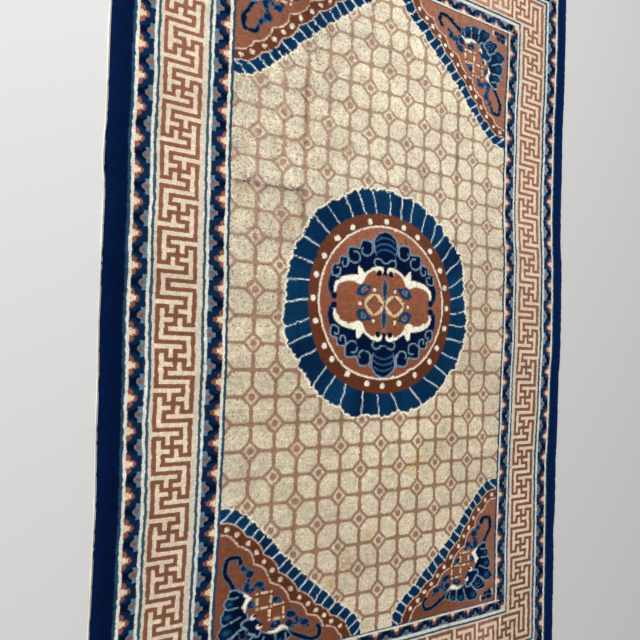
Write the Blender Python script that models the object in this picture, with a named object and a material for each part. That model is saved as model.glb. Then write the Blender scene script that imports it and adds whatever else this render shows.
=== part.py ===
"""A hand-knotted wool rug with a lattice field, a round medallion and a fret border.

It lies flat, with its design's long way along Y and its underside on z = 0. The rug is one
piece of cloth, so it is one closed solid: a flat woven foundation whose cord-like rim shows
all round, with the pile standing on it. Sizes are counted in squares of the field's lattice,
as the design is, and turned into metres by SQUARE.
"""

import math

import bmesh
import bpy

for old in list(bpy.data.objects):
    bpy.data.objects.remove(old, do_unlink=True)

# Driving sizes: the lattice square in metres, and the rug's reach from the middle of its
# pattern to its sides and ends, in squares
SQUARE = 0.067
REACH_SIDE = 11.45
REACH_UPPER = 17.80
REACH_LOWER = 17.20

# The edge's section, from where the underside leaves the floor, over the rim's cord and up
# the side of the pile: how far in from the outline, and how high, in metres
EDGE_SECTION = (
    (0.0010, 0.0000),
    (0.0000, 0.0015),
    (0.0012, 0.0033),
    (0.0042, 0.0036),
    (0.0052, 0.0066),
    (0.0075, 0.0090),
    (0.0130, 0.0100),
)
PILE_TOP = EDGE_SECTION[-1][1]

# No side is straight. Each row gives how far the left and the right side stand out from
# their mean line at one place along the rug, in squares
SIDE_STATIONS = (
    # along, left, right
    (-17.2, -0.17, -0.38),
    (-12.0, -0.17, -0.34),
    (-8.0, -0.17, -0.22),
    (-4.0, -0.07, -0.09),
    (-1.0, 0.02, 0.06),
    (2.6, 0.05, 0.12),
    (3.8, 0.08, 0.02),
    (5.0, 0.10, 0.00),
    (9.0, 0.15, 0.08),
    (14.0, 0.17, 0.25),
    (17.8, 0.17, 0.30),
)
SIDE_DEPTH_FROM, SIDE_DEPTH_FULL = 4.0, 7.0

# How the ends wander, as amplitude, wavelength and phase, in squares
END_WAVES = ((0.035, 12.0, 1.0), (0.015, 4.6, 0.3))
WAVE_DEPTH = 3.0

# Two short places out of line: a swelling of the left side and a bay in the right one
LEFT_SWELLING_AT, LEFT_SWELLING = 4.1, 0.05
RIGHT_BAY_AT, RIGHT_BAY = -10.9, 0.05
OUT_OF_LINE_LENGTH = 0.6
OUT_OF_LINE_DEPTH = 1.0

CORNER_PULL, CORNER_RADIUS = 0.05, 0.45

# Two old folding lines lie along the rug as shallow troughs
FOLDS_AT = (-4.25, 3.75)
FOLD_DEPTH = 0.0009
FOLD_HALF_WIDTH = 0.30

# The pile's own unevenness
SWELL = 0.0005
SWELL_LENGTHS = (5.3, 7.1)

# Faces across and along the even part of the top, between the edge sections
MIDDLE_COLUMNS = 22
MIDDLE_ROWS = 36


def smooth_step(value, low, high):
    share = min(1.0, max(0.0, (value - low) / (high - low)))
    return share * share * (3.0 - 2.0 * share)


def bell(distance, width):
    return math.exp(-((distance / width) ** 2))


def waves(along, parts):
    total = 0.0
    for size, length, phase in parts:
        total += size * math.sin(2.0 * math.pi * along / length + phase)
    return total


def side_drift(along):
    """How far the left and the right side stand out from their mean line."""
    at = min(max(along, SIDE_STATIONS[0][0]), SIDE_STATIONS[-1][0])
    for low, high in zip(SIDE_STATIONS, SIDE_STATIONS[1:]):
        if at <= high[0]:
            share = smooth_step(at, low[0], high[0])
            return [low[side] + share * (high[side] - low[side]) for side in (1, 2)]
    return SIDE_STATIONS[-1][1:]


def warped(across, along):
    """Where a point of the even design lies in the rug as woven, in squares."""
    from_left = across + REACH_SIDE
    from_right = REACH_SIDE - across
    from_upper = REACH_UPPER - along
    from_lower = along + REACH_LOWER
    left, right = side_drift(along)
    depth = smooth_step(abs(across), SIDE_DEPTH_FROM, SIDE_DEPTH_FULL)
    x = across + depth * (right if across > 0.0 else -left)
    y = along
    y += waves(across, END_WAVES) * bell(from_upper, WAVE_DEPTH)
    y += waves(-across, END_WAVES) * bell(from_lower, WAVE_DEPTH)
    at_swelling = bell(along - LEFT_SWELLING_AT, OUT_OF_LINE_LENGTH)
    at_bay = bell(along - RIGHT_BAY_AT, OUT_OF_LINE_LENGTH)
    x -= LEFT_SWELLING * at_swelling * bell(from_left, OUT_OF_LINE_DEPTH)
    x -= RIGHT_BAY * at_bay * bell(from_right, OUT_OF_LINE_DEPTH)
    for toward_x, near_x in ((1.0, from_left), (-1.0, from_right)):
        for toward_y, near_y in ((-1.0, from_upper), (1.0, from_lower)):
            pull = CORNER_PULL * bell(math.hypot(near_x, near_y), CORNER_RADIUS)
            x += toward_x * pull
            y += toward_y * pull
    return x, y


def unevenness(across, along, inset):
    """How far the pile's top lies above or below its even height, in metres."""
    turn_across = 2.0 * math.pi * across / SWELL_LENGTHS[0]
    turn_along = 2.0 * math.pi * along / SWELL_LENGTHS[1]
    swell = SWELL * math.sin(turn_across) * math.cos(turn_along)
    fold = sum(FOLD_DEPTH * bell(across - at, FOLD_HALF_WIDTH) for at in FOLDS_AT)
    inside = smooth_step(inset, EDGE_SECTION[-2][0], 4.0 * EDGE_SECTION[-1][0])
    return (swell - fold) * inside


def lines(start, stop, middle, extra=()):
    """Places of the grid's lines from one outline to the other, in squares."""
    insets = [inset / SQUARE for inset, _ in EDGE_SECTION[1:]]
    first = [start + inset for inset in insets]
    last = [stop - inset for inset in reversed(insets)]
    step = (last[0] - first[-1]) / middle
    even = [first[-1] + step * count for count in range(1, middle)]
    kept = [place for place in even if all(abs(place - at) > FOLD_HALF_WIDTH for at in extra)]
    return sorted(first + kept + list(extra) + last)


def section_height(inset):
    """The edge section's height at one of its own insets, or the pile's top further in."""
    for at, height in EDGE_SECTION[1:]:
        if inset < at + 0.0001:
            return height
    return PILE_TOP


def fold_lines():
    """Grid lines along each fold: its bottom and its two shoulders."""
    return [at + side * FOLD_HALF_WIDTH for at in FOLDS_AT for side in (-1.0, 0.0, 1.0)]


def rug_mesh():
    columns = lines(-REACH_SIDE, REACH_SIDE, MIDDLE_COLUMNS, fold_lines())
    rows = lines(-REACH_LOWER, REACH_UPPER, MIDDLE_ROWS)
    bm = bmesh.new()
    bmesh.ops.create_grid(bm, x_segments=len(columns) - 1, y_segments=len(rows) - 1, size=1.0)
    bm.verts.ensure_lookup_table()

    # The grid's points come row by row, so each one's column and row follow from its number
    under = {}
    for number, vert in enumerate(bm.verts):
        across = columns[number % len(columns)]
        along = rows[number // len(columns)]
        to_sides = REACH_SIDE - abs(across)
        to_ends = min(REACH_UPPER - along, along + REACH_LOWER)
        inset = SQUARE * min(to_sides, to_ends)
        x, y = warped(across, along)
        height = section_height(inset) + unevenness(across, along, inset)
        vert.co = (x * SQUARE, y * SQUARE, height)

        # The point of the underside that belongs to a point of the outline
        tuck = EDGE_SECTION[0][0] / SQUARE
        low_across = min(max(across, -REACH_SIDE + tuck), REACH_SIDE - tuck)
        low_along = min(max(along, -REACH_LOWER + tuck), REACH_UPPER - tuck)
        x, y = warped(low_across, low_along)
        under[vert] = (x * SQUARE, y * SQUARE, 0.0)

    outline = [edge for edge in bm.edges if edge.is_boundary]
    partners = {}
    for edge in outline:
        for vert in edge.verts:
            partners[vert.co.copy().freeze()] = under[vert]
    extruded = bmesh.ops.extrude_edge_only(bm, edges=outline)["geom"]
    for vert in (item for item in extruded if isinstance(item, bmesh.types.BMVert)):
        vert.co = partners[vert.co.copy().freeze()]
    bmesh.ops.holes_fill(bm, edges=[edge for edge in bm.edges if edge.is_boundary], sides=0)
    bmesh.ops.recalc_face_normals(bm, faces=bm.faces)

    mesh = bpy.data.meshes.new("rug")
    bm.to_mesh(mesh)
    bm.free()
    return mesh


def centre_on_origin(mesh):
    """Puts the middle of the rug's box over the origin."""
    xs = [vert.co.x for vert in mesh.vertices]
    ys = [vert.co.y for vert in mesh.vertices]
    shift_x = -(min(xs) + max(xs)) / 2.0
    shift_y = -(min(ys) + max(ys)) / 2.0
    for vert in mesh.vertices:
        vert.co.x += shift_x
        vert.co.y += shift_y


def wool():
    """Sheared wool in the field's yellow beige, the largest of its colours."""
    material = bpy.data.materials.new("wool")
    material.use_nodes = True
    shader = material.node_tree.nodes["Principled BSDF"]
    shader.inputs["Base Color"].default_value = (0.62, 0.53, 0.34, 1.0)
    shader.inputs["Roughness"].default_value = 0.95
    shader.inputs["Metallic"].default_value = 0.0
    return material


def build():
    mesh = rug_mesh()
    centre_on_origin(mesh)
    mesh.materials.append(wool())
    mesh.shade_smooth()
    mesh.set_sharp_from_angle(angle=math.radians(50.0))
    rug = bpy.data.objects.new("rug", mesh)
    bpy.context.collection.objects.link(rug)


build()
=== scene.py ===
"""A hand-knotted wool rug lying flat on a pale floor.

The rug is made as a weaver makes it. A woven cotton ground lies on the floor, with a wrapped
cord along each long side. On it stands the sheared pile, with a face for every knot. The
pattern is worked out knot by knot: the borders by counting knots from the middle, the
medallion and the corner pieces by drawing their forms. The knots then take their places in
the rug as woven, where no line is quite straight.
"""

import itertools
import math

import bpy
import mathutils
import numpy as np
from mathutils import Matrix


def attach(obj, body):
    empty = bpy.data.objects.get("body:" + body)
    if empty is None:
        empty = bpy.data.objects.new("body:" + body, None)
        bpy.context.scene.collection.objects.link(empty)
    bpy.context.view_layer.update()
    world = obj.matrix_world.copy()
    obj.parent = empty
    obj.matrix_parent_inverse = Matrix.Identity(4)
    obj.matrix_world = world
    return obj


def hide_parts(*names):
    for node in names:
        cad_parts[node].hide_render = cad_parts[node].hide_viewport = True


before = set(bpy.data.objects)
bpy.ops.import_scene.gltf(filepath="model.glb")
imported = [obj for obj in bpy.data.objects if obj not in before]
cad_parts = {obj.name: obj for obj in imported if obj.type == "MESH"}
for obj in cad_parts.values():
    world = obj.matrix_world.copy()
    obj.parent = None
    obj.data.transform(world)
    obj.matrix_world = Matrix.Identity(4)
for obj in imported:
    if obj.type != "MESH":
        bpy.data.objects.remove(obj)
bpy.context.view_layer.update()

# Sizes shared with the solid: the lattice square in metres, and the reach in squares
SQUARE = 0.067
REACH_SIDE = 11.45
REACH_UPPER = 17.8
REACH_LOWER = 17.2
PILE_TOP = 0.01

# Knots in one square, and from the middle to the edge of the pile
KNOTS_ACROSS = 19.0
KNOTS_ALONG = 20.2
KNOT = 1.0 / KNOTS_ACROSS
KNOT_EDGE = 0.65
HALF_COLUMNS = 217
HALF_ROWS = 356

# How far the weave has drifted sideways, in squares, at places along the rug. Each row gives
# the left edge, the left and right rims of the field, the right outer line, the right edge
DRIFT = (
    # along, left edge, left rim, right rim, right line, right edge
    (-17.2, 0.17, -0.05, -0.33, -0.36, -0.38),
    (-12.0, 0.17, -0.06, -0.3, -0.31, -0.34),
    (-8.0, 0.17, 0.03, -0.24, -0.28, -0.22),
    (-4.0, 0.07, 0.05, -0.1, -0.09, -0.09),
    (-1.0, -0.02, 0.02, 0.02, 0.08, 0.06),
    (2.6, -0.05, -0.07, 0.06, 0.13, 0.12),
    (3.8, -0.08, -0.1, -0.04, 0.05, 0.02),
    (5.0, -0.1, -0.13, -0.1, 0.0, 0.0),
    (9.0, -0.15, -0.15, -0.03, 0.08, 0.08),
    (14.0, -0.17, -0.15, 0.1, 0.27, 0.25),
    (17.8, -0.17, -0.15, 0.12, 0.3, 0.3),
)
FIELD_RIM = 7.25
FIELD_END = 13.8
OUTER_LINE = 10.67
DRIFT_FROM = 4.0
END_WAVES = ((0.035, 12.0, 1.0), (0.015, 4.6, 0.3))
WAVE_DEPTH = 3.0
LEFT_SWELLING_AT, LEFT_SWELLING = 4.1, 0.05
RIGHT_BAY_AT, RIGHT_BAY = -10.9, 0.05
OUT_OF_LINE_LENGTH = 0.6
OUT_OF_LINE_DEPTH = 1.0
CORNER_PULL, CORNER_RADIUS = 0.05, 0.45

# The right border's bands are not as wide as the left one's: how far they stand out from
# the left one's places, in knots, by how far from the middle they lie, in squares
RIGHT_STRAY = (
    # from the middle, outward
    (6.6, 0.0), (7.05, 1.5), (7.22, 1.3), (7.9, 0.0), (8.32, -1.0), (9.25, -0.9), (9.58, -0.4),
    (9.92, 1.0), (10.55, 1.8), (10.8, 1.6), (11.39, 0.0),
)

# Where rows of knots lie along the rug: the lower half was beaten tighter than the upper
ROW_PLACES = (
    # rows from the middle, squares upward, squares downward
    (0.0, 0.0, 0.0), (60.0, 2.97, 3.07), (121.0, 5.99, 6.09), (182.0, 9.01, 9.0),
    (242.0, 11.98, 11.77), (282.5, 13.98, 13.56), (301.5, 14.92, 14.41), (328.5, 16.34, 15.79),
    (356.5, 17.73, 17.13),
)

FOLDS_AT = (-4.25, 3.75)
FOLD_DEPTH = 0.0009
FOLD_HALF_WIDTH = 0.3
SWELL = 0.0005
SWELL_LENGTHS = (5.3, 7.1)

# How far inside the edge, in metres, the unevenness begins and is whole
UNEVEN_FROM = (0.0075, 0.052)

# The borders, by the first column or row of each band counted from the middle
SIDE_BANDS = (134, 136, 138, 149, 151, 153, 157, 184, 186, 188, 190, 200, 202, 204, 218)
END_BANDS = (283, 284, 286, 295, 298, 300, 302, 329, 331, 333, 335, 344, 346, 347, 357)
BAND_NAMES = (
    "field", "teal", "border white", "inner guard", "border white", "blue", "margin", "fret",
    "margin", "blue", "border white", "outer guard", "border white", "teal", "navy",
)
FRET_CELL = 3

# The fret's cell on the rug's middle line, counted from the field's side of the border
MIDDLE_CELL = -52

# One repeat of the fret, ten cells long and nine deep, and its corner. A hash is a cell of
# the dark line. Rows run along the border and columns outward from the field
FRET_REPEAT = (
    "......#.#",
    "###.###.#",
    "#.#.#...#",
    "#.#####.#",
    "#...#.#.#",
    "#.###.###",
    "#.#......",
    "#.#######",
    "#.......#",
    "#######.#",
)
FRET_CORNER = (
    "#####.#.#",
    "....#.#.#",
    "###.#.#.#",
    "#.#.#.#.#",
    "#.#.#.#.#",
    "..#.#.#.#",
    "#.#.###.#",
    "#.#.....#",
    "#.#######",
)

# Half a repeat of the guard borders, from the middle of a red flower to the middle of a
# light one. c is cream, t the red flower, m middle blue, d dark blue, l the light flower and
# o its centre
GUARD_REPEAT = (
    "cccctttmmmm",
    "cccctttmmmm",
    "cctttmmmmmm",
    "tttmmmmmmmm",
    "tttmmmmmmmd",
    "tttmmmmmmdd",
    "ttmmmmmmlll",
    "mmmmmmddlll",
    "mmmmddddlll",
    "dddddddllll",
    "dddddlloool",
    "dddddlloool",
)
GUARD_PERIOD = 22.0
GUARD_PERIOD_ENDS = 20.1

# Half the width of a corner flower's middle, in squares
FLOWER_CORE = 0.17


def linear(red, green, blue):
    """A screen colour from 0 to 255 as the linear colour that light is worked out with."""
    shares = np.array([red, green, blue], float) / 255.0
    return np.where(shares <= 0.04045, shares / 12.92, ((shares + 0.055) / 1.055) ** 2.4)


SCREEN_COLOURS = {
    "field": (221, 206, 178), "lattice": (151, 117, 95), "diamond": (216, 198, 172),
    "teal": (33, 66, 90), "ivory": (250, 242, 220), "thread": (220, 232, 236),
    "border white": (217, 215, 202), "blue": (46, 78, 94), "margin": (210, 198, 178),
    "fret ground": (222, 204, 179), "fret line": (129, 82, 63), "navy": (2, 18, 50),
    "royal": (6, 44, 76), "bright royal": (14, 66, 104), "scroll blue": (20, 60, 92),
    "guard blue": (9, 36, 67), "guard dark": (3, 14, 37), "light blue": (90, 120, 137),
    "middle blue": (28, 74, 104), "sky": (122, 154, 174), "slate": (74, 104, 132),
    "red": (132, 80, 63), "cream": (222, 197, 167), "copper": (132, 77, 53), "rust": (119, 71, 50),
    "brown": (95, 50, 31), "dark brown": (70, 38, 28), "coin": (230, 196, 156),
    "pearl": (250, 232, 210), "blush": (234, 202, 180), "corner pearl": (240, 216, 192),
    "frame cream": (236, 204, 170), "feather": (1, 14, 40), "wisp blue": (6, 34, 66),
    "band blue": (66, 98, 136), "cotton": (236, 232, 220),
}
COLOURS = {name: linear(*shade) for name, shade in SCREEN_COLOURS.items()}
GUARD_LETTERS = {
    "c": "cream",
    "t": "red",
    "m": "guard blue",
    "d": "guard dark",
    "l": "light blue",
    "o": "red",
}


def ramp(value, low, high):
    share = np.clip((np.asarray(value, float) - low) / (high - low), 0.0, 1.0)
    return share * share * (3.0 - 2.0 * share)


def bell(distance, width):
    return np.exp(-((distance / width) ** 2))


def waves(along):
    """How the ends wander, in squares."""
    return sum(size * np.sin(2.0 * math.pi * along / length + phase) for size, length, phase in END_WAVES)


def noise(x, y, length, seed, octaves=3):
    """Soft random hills between about -1 and 1, with their size given by length."""
    random = np.random.default_rng(seed)
    total = np.zeros(np.shape(x))
    reach = 0.0
    for octave in range(octaves):
        strength = 0.5 ** octave
        size = length * strength
        low_x = np.min(x) / size
        low_y = np.min(y) / size
        across = int(np.ceil(np.max(x) / size - low_x)) + 3
        along = int(np.ceil(np.max(y) / size - low_y)) + 3
        heights = random.uniform(-1.0, 1.0, (along, across))
        grid_x = np.asarray(x) / size - low_x
        grid_y = np.asarray(y) / size - low_y
        cell_x = np.floor(grid_x).astype(int)
        cell_y = np.floor(grid_y).astype(int)
        share_x = ramp(grid_x - cell_x, 0.0, 1.0)
        share_y = ramp(grid_y - cell_y, 0.0, 1.0)
        lower = heights[cell_y, cell_x] * (1 - share_x) + heights[cell_y, cell_x + 1] * share_x
        upper = heights[cell_y + 1, cell_x] * (1 - share_x) + heights[cell_y + 1, cell_x + 1] * share_x
        total += strength * (lower * (1 - share_y) + upper * share_y)
        reach += strength
    return total / reach * 1.6


# Where things lie in the rug as woven


def row_place(rows):
    """Squares from the middle at which rows of knots lie, upward counted positive."""
    at, upward, downward = zip(*ROW_PLACES)
    up = np.interp(np.abs(rows), at, upward)
    down = -np.interp(np.abs(rows), at, downward)
    return np.where(np.asarray(rows) >= 0, up, down)


def drift_at(along):
    """The five sideways drifts at places along the rug."""
    stations = np.array(DRIFT)
    at = np.clip(along, stations[0, 0], stations[-1, 0])
    low = np.searchsorted(stations[:, 0], at, side="right") - 1
    low = np.clip(low, 0, len(stations) - 2)
    share = ramp(at, stations[low, 0], stations[low + 1, 0])
    return [drift[low] + share * (drift[low + 1] - drift[low]) for drift in stations.T[1:]]


def woven(x, y):
    """Where points of the even design lie in the rug as woven, in squares."""
    x, y = np.asarray(x, float), np.asarray(y, float)
    depth = np.abs(x)

    def share(start, stop):
        return np.clip((depth - start) / (stop - start), 0.0, 1.0)

    left_edge, left_rim, right_rim, right_line, right_edge = drift_at(y)
    into_rim = ramp(depth, DRIFT_FROM, FIELD_RIM)
    left = left_rim * into_rim + (left_edge - left_rim) * share(FIELD_RIM, REACH_SIDE)
    right = right_rim * into_rim + (right_line - right_rim) * share(FIELD_RIM, OUTER_LINE)
    right = right + (right_edge - right_line) * share(OUTER_LINE, REACH_SIDE)
    right = right + np.interp(x, *zip(*RIGHT_STRAY)) / KNOTS_ACROSS
    from_left, from_right = x + REACH_SIDE, REACH_SIDE - x
    from_upper, from_lower = REACH_UPPER - y, y + REACH_LOWER
    new_x = x + np.where(x > 0.0, right, left)
    new_y = y + waves(x) * bell(from_upper, WAVE_DEPTH) + waves(-x) * bell(from_lower, WAVE_DEPTH)
    swelling = LEFT_SWELLING * bell(y - LEFT_SWELLING_AT, OUT_OF_LINE_LENGTH)
    bay = RIGHT_BAY * bell(y - RIGHT_BAY_AT, OUT_OF_LINE_LENGTH)
    new_x = new_x - swelling * bell(from_left, OUT_OF_LINE_DEPTH)
    new_x = new_x - bay * bell(from_right, OUT_OF_LINE_DEPTH)
    for toward_x, near_x in ((1.0, from_left), (-1.0, from_right)):
        for toward_y, near_y in ((-1.0, from_upper), (1.0, from_lower)):
            pull = CORNER_PULL * bell(np.hypot(near_x, near_y), CORNER_RADIUS)
            new_x = new_x + toward_x * pull
            new_y = new_y + toward_y * pull
    return new_x, new_y


def unevenness(x, y, inset):
    """How far the pile's top lies above or below its even height, in metres."""
    turn_across, turn_along = (2.0 * math.pi * at / length for at, length in zip((x, y), SWELL_LENGTHS))
    swell = SWELL * np.sin(turn_across) * np.cos(turn_along)
    fold = sum(FOLD_DEPTH * bell(x - at, FOLD_HALF_WIDTH) for at in FOLDS_AT)
    return (swell - fold) * ramp(inset, *UNEVEN_FROM)


def middle_shift():
    """The shift, in squares, that puts the middle of the woven rug over the origin."""
    sides = np.linspace(-REACH_LOWER, REACH_UPPER, 800)
    ends = np.linspace(-REACH_SIDE, REACH_SIDE, 500)
    left, right = (woven(np.full_like(sides, at), sides)[0] for at in (-REACH_SIDE, REACH_SIDE))
    lower, upper = (woven(ends, np.full_like(ends, at))[1] for at in (-REACH_LOWER, REACH_UPPER))
    return -(left.min() + right.max()) / 2.0, -(upper.max() + lower.min()) / 2.0


SHIFT_X, SHIFT_Y = middle_shift()


def to_metres(x, y):
    """Places of the even design as places on the floor, in metres."""
    new_x, new_y = woven(x, y)
    return (new_x + SHIFT_X) * SQUARE, (new_y + SHIFT_Y) * SQUARE


# Drawing forms on the knots


def pairs(*numbers):
    """Points from numbers that go across, along, across and so on, in hundredths of a square."""
    return [(across / 100.0, along / 100.0) for across, along in zip(numbers[::2], numbers[1::2])]


def mirrored(half):
    """The left half of an outline, from the end of its right half back to the start."""
    return [(-across, along) for across, along in reversed(half) if across > 0.0]


def rounded(points, closed=False, steps=5):
    """A soft curve through given points, as points that lie closer together."""
    points = [np.array(point) for point in points]
    ends = points[-1:] + points + points[:2] if closed else points[:1] + points + points[-1:]
    curve = []
    for before, here, there, after in zip(ends, ends[1:], ends[2:], ends[3:]):
        for t in np.arange(steps) / steps:
            bend = 2.0 * here + (there - before) * t
            bend = bend + (2.0 * before - 5.0 * here + 4.0 * there - after) * t * t
            bend = bend + (3.0 * here - before - 3.0 * there + after) * t * t * t
            curve.append(tuple(bend / 2.0))
    return curve if closed else curve + [tuple(points[-1])]


def distance(x, y, points):
    """How far each place lies from a line through points."""
    nearest = np.full(x.shape, 1.0e9)
    for (x0, y0), (x1, y1) in zip(points, points[1:]):
        length = max((x1 - x0) ** 2 + (y1 - y0) ** 2, 1.0e-12)
        share = np.clip(((x - x0) * (x1 - x0) + (y - y0) * (y1 - y0)) / length, 0.0, 1.0)
        off = np.hypot(x - x0 - share * (x1 - x0), y - y0 - share * (y1 - y0))
        nearest = np.minimum(nearest, off)
    return nearest


def depth_in(x, y, outline):
    """How far each place lies inside an outline, or outside it as a negative number."""
    within = np.zeros(x.shape, bool)
    closed = outline + outline[:1]
    for (x0, y0), (x1, y1) in zip(closed, closed[1:]):
        if y0 != y1:
            crosses = (y0 > y) != (y1 > y)
            within ^= crosses & (x < x0 + (y - y0) * (x1 - x0) / (y1 - y0))
    off = distance(x, y, closed)
    return np.where(within, off, -off)


def share_of_knot(depth):
    """How much of a knot a form covers, by how deep inside the form its middle lies."""
    return np.clip(depth / (KNOT_EDGE * KNOT) + 0.5, 0.0, 1.0)


OVAL_POINTS = 20
BLOCK_CORNERS = ((-0.5, -0.5), (0.5, -0.5), (0.5, 0.5), (-0.5, 0.5))


class Drawing:
    """Knots at places x, y. Forms are laid over them one after the other."""

    def __init__(self, x, y, colour):
        self.x, self.y, self.colour = x, y, colour

    def cover(self, share, name, where=slice(None)):
        part = share[:, None] * (COLOURS[name] - self.colour[where])
        self.colour[where] = self.colour[where] + part

    def fill(self, depth, name, where=slice(None)):
        self.cover(share_of_knot(depth), name, where)

    def near(self, points, margin):
        xs, ys = zip(*points)
        across = (self.x > min(xs) - margin) & (self.x < max(xs) + margin)
        along = (self.y > min(ys) - margin) & (self.y < max(ys) + margin)
        return np.flatnonzero(across & along)

    def line(self, curve, width, name):
        where = self.near(curve, width + KNOT)
        off = distance(self.x[where], self.y[where], curve)
        share = np.minimum(share_of_knot(width / 2.0 - off), 1.25 * width / KNOT)
        self.cover(share, name, where)

    def stroke(self, points, width, name, rim=None, rim_width=0.0):
        curve = rounded(points)
        if rim:
            self.line(curve, width + 2.0 * rim_width, rim)
        self.line(curve, width, name)

    def form(self, points, name, rim=None, rim_width=0.0, soft=True):
        outline = rounded(points, True) if soft else points
        where = self.near(outline, KNOT)
        self.fill(depth_in(self.x[where], self.y[where], outline), name, where)
        if rim:
            self.line(outline + outline[:1], rim_width, rim)

    def oval(self, middle, radii, name, rim=None, rim_width=0.0, turn=0.0):
        cosine, sine = math.cos(math.radians(turn)), math.sin(math.radians(turn))
        outline = []
        for number in range(OVAL_POINTS):
            at = 2.0 * math.pi * number / OVAL_POINTS
            first, second = radii[0] * math.cos(at), radii[1] * math.sin(at)
            across = middle[0] + first * cosine - second * sine
            along = middle[1] + first * sine + second * cosine
            outline.append((across, along))
        self.form(outline, name, rim, rim_width, False)

    def block(self, middle, width, depth, name):
        at_x, at_y = middle
        outline = [(at_x + width * across, at_y + depth * along) for across, along in BLOCK_CORNERS]
        self.form(outline, name, soft=False)


# The medallion. Forms are given for one quarter, sideways and along from its middle, and the
# other quarters mirror them
MEDALLION_AT = (0.05, -0.03)
INNER_AT = (0.02, -0.07)
RING_INNER, RING_OUTER = 3.235, 3.785
PEARLS, PEARL_RADIUS, PEARLS_AT = 24, 0.12, 3.5
PEARL_STRAY = 0.012
RIM_HALF = 0.038

# The petals round the medallion: the angles of the pale lines between them, counted from the
# right side upward, and the outline of the petals' ends
PETAL_LINES = (
    7, 16, 26, 35, 45, 51, 61, 71, 79, 88, 99, 108, 117, 128, 138, 149, 160, 171,
    182, 193, 202, 211, 224, 232, 242, 255, 266, 278, 293, 307, 317, 329, 339, 349, 358,
)
PETAL_LEAN, PETAL_LEAN_SWING, PETAL_LEAN_AT = 2.4, 1.5, 340.0
PETAL_ENDS = (
    # angle, distance from the middle
    (-10.0, 4.76), (-2.0, 4.64), (6.0, 4.58), (15.0, 4.62), (22.0, 4.76), (29.0, 4.92),
    (36.0, 4.8), (42.0, 4.73), (60.0, 4.8), (88.0, 4.81), (100.0, 4.87), (107.0, 4.93),
    (118.0, 4.82), (130.0, 4.86), (138.0, 4.93), (150.0, 4.79), (180.0, 4.78), (190.0, 4.88),
    (198.0, 4.96), (215.0, 4.87), (235.0, 4.98), (244.0, 4.82), (252.0, 4.96), (260.0, 4.74),
    (275.0, 4.72), (279.0, 4.6), (285.0, 4.76), (303.0, 4.86), (314.0, 4.74), (332.0, 4.8),
    (350.0, 4.76), (358.0, 4.64), (366.0, 4.58),
)

MOUND_HALF = pairs(0, 312, 22, 305, 40, 294, 55, 278, 61, 255, 58, 230, 49, 208, 40, 190)
MOUND = MOUND_HALF + mirrored(MOUND_HALF)
MOUND_RIM = MOUND_HALF[:6] + pairs(50, 208)
MOUND_BANDS = (
    pairs(0, 283, 25, 279, 48, 266),
    pairs(0, 258, 28, 253, 54, 238),
    pairs(0, 233, 28, 228, 50, 213),
)
MOUND_SIDE = pairs(69, 270, 69, 240, 68, 216)
HEAD_GROUND = pairs(
    -10, 195, 42, 200, 60, 220, 66, 230, 70, 245, 76, 256, 92, 262, 115, 262, 128, 254, 134, 226,
    182, 227, 192, 218, 196, 182, 228, 181, 237, 150, 256, 148, 267, 134, 267, 100, 260, 60,
    250, 50, 120, 90, 50, 140, 13, 125, -10, 118
)
CLOUD_TOPS = (
    pairs(
        70, 245, 76, 256, 92, 262, 115, 262, 128, 254, 132, 238, 135, 226, 155, 227, 182, 227,
        192, 218, 195, 198, 196, 182, 215, 183, 230, 180, 234, 164, 238, 150, 256, 148, 267, 134,
        268, 112, 262, 102, 245, 102, 231, 108, 227, 125, 234, 136, 246, 133
    ),
    pairs(70, 250, 70, 222, 78, 206, 98, 197, 118, 204, 125, 218, 118, 228),
    pairs(
        162, 208, 148, 209, 136, 199, 134, 178, 146, 165, 166, 162, 182, 170, 192, 180, 192, 160,
        200, 144, 214, 142, 220, 152, 217, 162
    ),
)
ARM = pairs(256, 104, 266, 84, 269, 60, 266, 38, 256, 24)
ARM_END = (2.53, 0.2)
CROWN = pairs(0, 174, 12, 176, 22, 186, 38, 191, 52, 188, 58, 177, 55, 164, 46, 158)
BODY = pairs(
    13, 122, 52, 144, 76, 138, 93, 126, 106, 104, 112, 84, 130, 80, 150, 90, 185, 94, 213, 88,
    234, 76, 245, 58, 248, 36, 240, 26, 238, 12, 244, 3, 244, -10, -10, -10, -10, 112
)
WING = pairs(
    30, 158, 58, 154, 81, 142, 96, 131, 104, 124, 113, 129, 126, 146, 137, 152, 141, 140, 142, 114,
    160, 112, 186, 109, 213, 102, 235, 90, 251, 74, 257, 52, 254, 33, 246, 33, 243, 54, 232, 70,
    213, 79, 186, 86, 158, 86, 143, 78, 126, 76, 115, 84, 107, 98, 100, 112, 88, 124, 67, 137,
    45, 143, 30, 144
)
SCROLL = pairs(70, 71, 90, 73, 108, 78, 126, 74, 138, 61, 146, 42, 135, 30, 113, 26, 92, 34, 78, 52)
SCROLL_CURL = pairs(93, 56, 102, 65, 115, 62, 120, 50, 112, 41)
SCROLL_MIDDLE = (1.06, 0.52)
SPINDLE_HALF = pairs(0, 112, 8, 92, 13, 64, 9, 34, 0, 10)
SPINDLE = SPINDLE_HALF + mirrored(SPINDLE_HALF)
CREAM_SQUARES = pairs(54, 58, 127, -5, 54, -74)
WING_EYE = ((0.3, 1.41), (0.21, 0.18))
WING_PUPIL = ((0.31, 1.3), (0.14, 0.13))
COIN_AT, COIN_RADII = (0.53, -0.05), (0.52, 0.48)


def turned(angle, middle):
    """The angle from a middle one, between -180 and 180 degrees."""
    return (angle - middle + 180.0) % 360.0 - 180.0


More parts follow.
